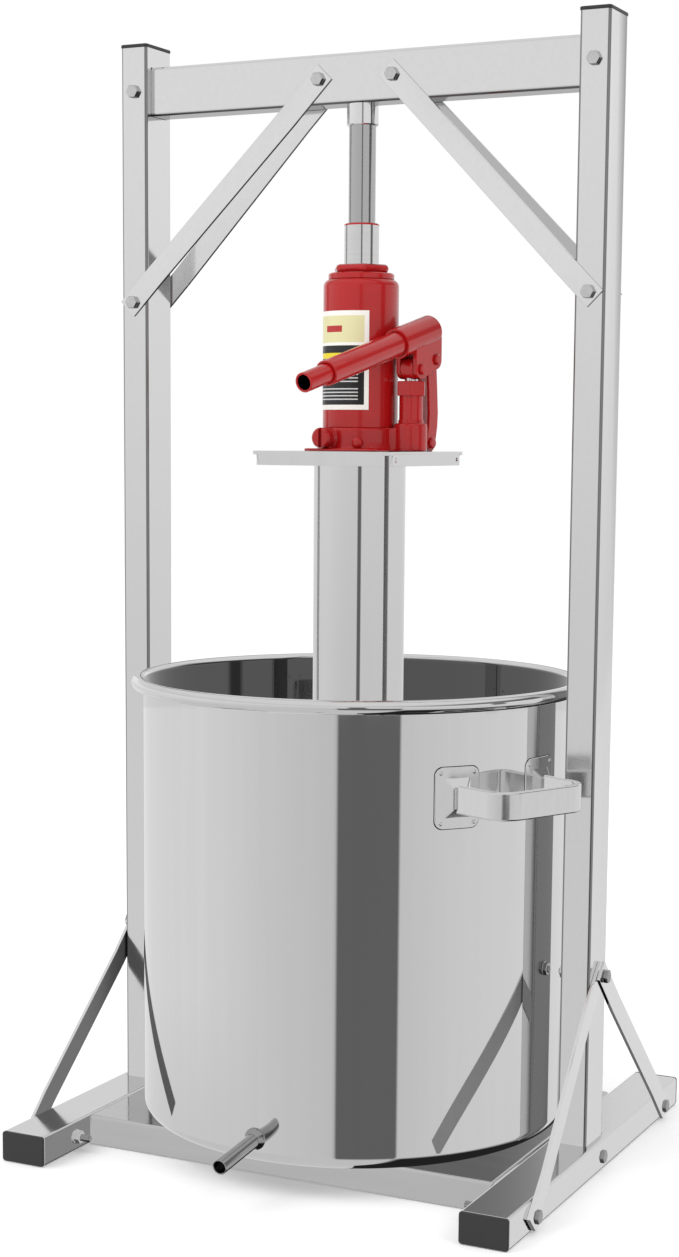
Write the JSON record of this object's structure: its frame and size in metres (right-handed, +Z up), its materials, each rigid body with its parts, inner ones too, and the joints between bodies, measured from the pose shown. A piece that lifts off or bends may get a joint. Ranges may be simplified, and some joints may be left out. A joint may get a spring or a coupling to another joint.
{
  "type": "hydraulic fruit press",
  "caption": "Floor-standing fruit press: a bottle jack under a bolted steel tube frame pushes a disc on a column down into a spouted stock pot with a strainer basket.",
  "frame": {"origin": "press axis at floor level", "axes": "+X to the right along the crossbeam, +Y to the rear, away from the spout, +Z up"},
  "size_m": [0.462, 0.4403, 0.92],
  "materials": {
    "frame_stainless": "bright drawn tube",
    "pan_stainless": "mirror-polished sheet",
    "pot_stainless": "mirror-polished stainless",
    "bolt_steel": "bright stainless",
    "cap_plastic": "moulded satin",
    "jack_enamel": "glossy red enamel",
    "ram_chrome": "ground and plated",
    "label_paper": "printed film",
    "seal_rubber": "moulded"
  },
  "bodies": {
    "frame": {"base_pan": "pan_stainless", "left_foot": "frame_stainless", "right_foot": "frame_stainless", "foot_caps": "cap_plastic", "left_upright": "frame_stainless", "right_upright": "frame_stainless", "upright_caps": "cap_plastic", "crossbeam": "frame_stainless", "ram_cup": "frame_stainless", "top_brace_front_left": "frame_stainless", "top_brace_front_right": "frame_stainless", "top_brace_rear_left": "frame_stainless", "top_brace_rear_right": "frame_stainless", "base_brace_front_left": "frame_stainless", "base_brace_front_right": "frame_stainless", "base_brace_rear_left": "frame_stainless", "base_brace_rear_right": "frame_stainless", "top_bolts": "bolt_steel", "top_washers": "bolt_steel", "top_nuts": "bolt_steel", "base_bolts": "bolt_steel", "base_washers": "bolt_steel", "base_nuts": "bolt_steel"},
    "pot": {"pot_shell": "pot_stainless", "pot_bottom": "pot_stainless", "pot_spout": "pot_stainless", "spout_collar": "pot_stainless", "pot_handle_right": "pot_stainless", "pot_handle_left": "pot_stainless", "handle_pads": "pot_stainless", "pad_rivets": "pot_stainless", "strainer_basket": "pot_stainless", "basket_bottom": "pot_stainless"},
    "press_head": {"press_disc": "pot_stainless", "disc_flange": "pot_stainless", "press_column": "pot_stainless", "jack_plate": "pot_stainless", "jack_base": "jack_enamel", "jack_cylinder": "ram_chrome", "jack_tank": "jack_enamel", "tank_nut": "jack_enamel", "pump_barrel": "jack_enamel", "gland_nut": "jack_enamel", "lug_pin": "jack_enamel", "filler_plug": "seal_rubber", "drain_screw": "jack_enamel", "rating_label": "label_paper"},
    "ram": {"ram_sleeve": "ram_chrome", "piston_seal": "seal_rubber"},
    "rod": {"ram_rod": "ram_chrome"},
    "plunger": {"pump_plunger": "ram_chrome"},
    "lever": {"handle_socket": "jack_enamel", "lever_ears": "jack_enamel", "plunger_pin": "jack_enamel"},
    "link": {"link_bars": "jack_enamel", "link_pin": "jack_enamel"},
    "handle": {"pump_handle": "jack_enamel", "handle_tip": "jack_enamel"},
    "valve": {"release_valve": "jack_enamel"}
  },
  "joints": [
    {"name": "press_lift", "type": "slide", "parent": "frame", "child": "press_head", "axis": [0, 0, 1], "range_m": [0, 0.108]},
    {"name": "ram_stroke", "type": "slide", "parent": "press_head", "child": "ram", "axis": [0, 0, -1], "range_m": [0, 0.032]},
    {"name": "rod_stroke", "type": "slide", "parent": "ram", "child": "rod", "axis": [0, 0, -1], "range_m": [0, 0.077]},
    {"name": "plunger_stroke", "type": "slide", "parent": "press_head", "child": "plunger", "axis": [0, 0, 1], "range_m": [0, 0.0125]},
    {"name": "lever_swing", "type": "hinge", "parent": "plunger", "child": "lever", "pos_m": [0.046, 0, 0.6485], "axis": [-0.9877, 0.1564, 0], "range_deg": [0, 30]},
    {"name": "link_swing", "type": "hinge", "parent": "press_head", "child": "link", "pos_m": [0.04944, 0.02173, 0.589], "axis": [-0.9877, 0.1564, 0], "range_deg": [0, 1.2]},
    {"name": "handle_pull", "type": "slide", "parent": "lever", "child": "handle", "axis": [-0.1511, -0.954, -0.2588], "range_m": [0, 0.03]},
    {"name": "valve_turn", "type": "hinge", "parent": "press_head", "child": "valve", "pos_m": [-0.014, -0.0363, 0.59275], "axis": [0, -1, 0], "range_deg": [0, 270]},
    {"name": "pot_turn", "type": "hinge", "parent": "frame", "child": "pot", "pos_m": [0, 0, 0.025], "axis": [0, 0, 1], "range_deg": [-80, 4]}
  ],
  "couplings": [
    {"joint": "ram_stroke", "follows": "press_lift", "ratio": 0.29},
    {"joint": "rod_stroke", "follows": "press_lift", "ratio": 0.71},
    {"joint": "plunger_stroke", "follows": "lever_swing", "m_per_rad": 0.0232},
    {"joint": "link_swing", "follows": "lever_swing", "ratio": 0.0364}
  ]
}
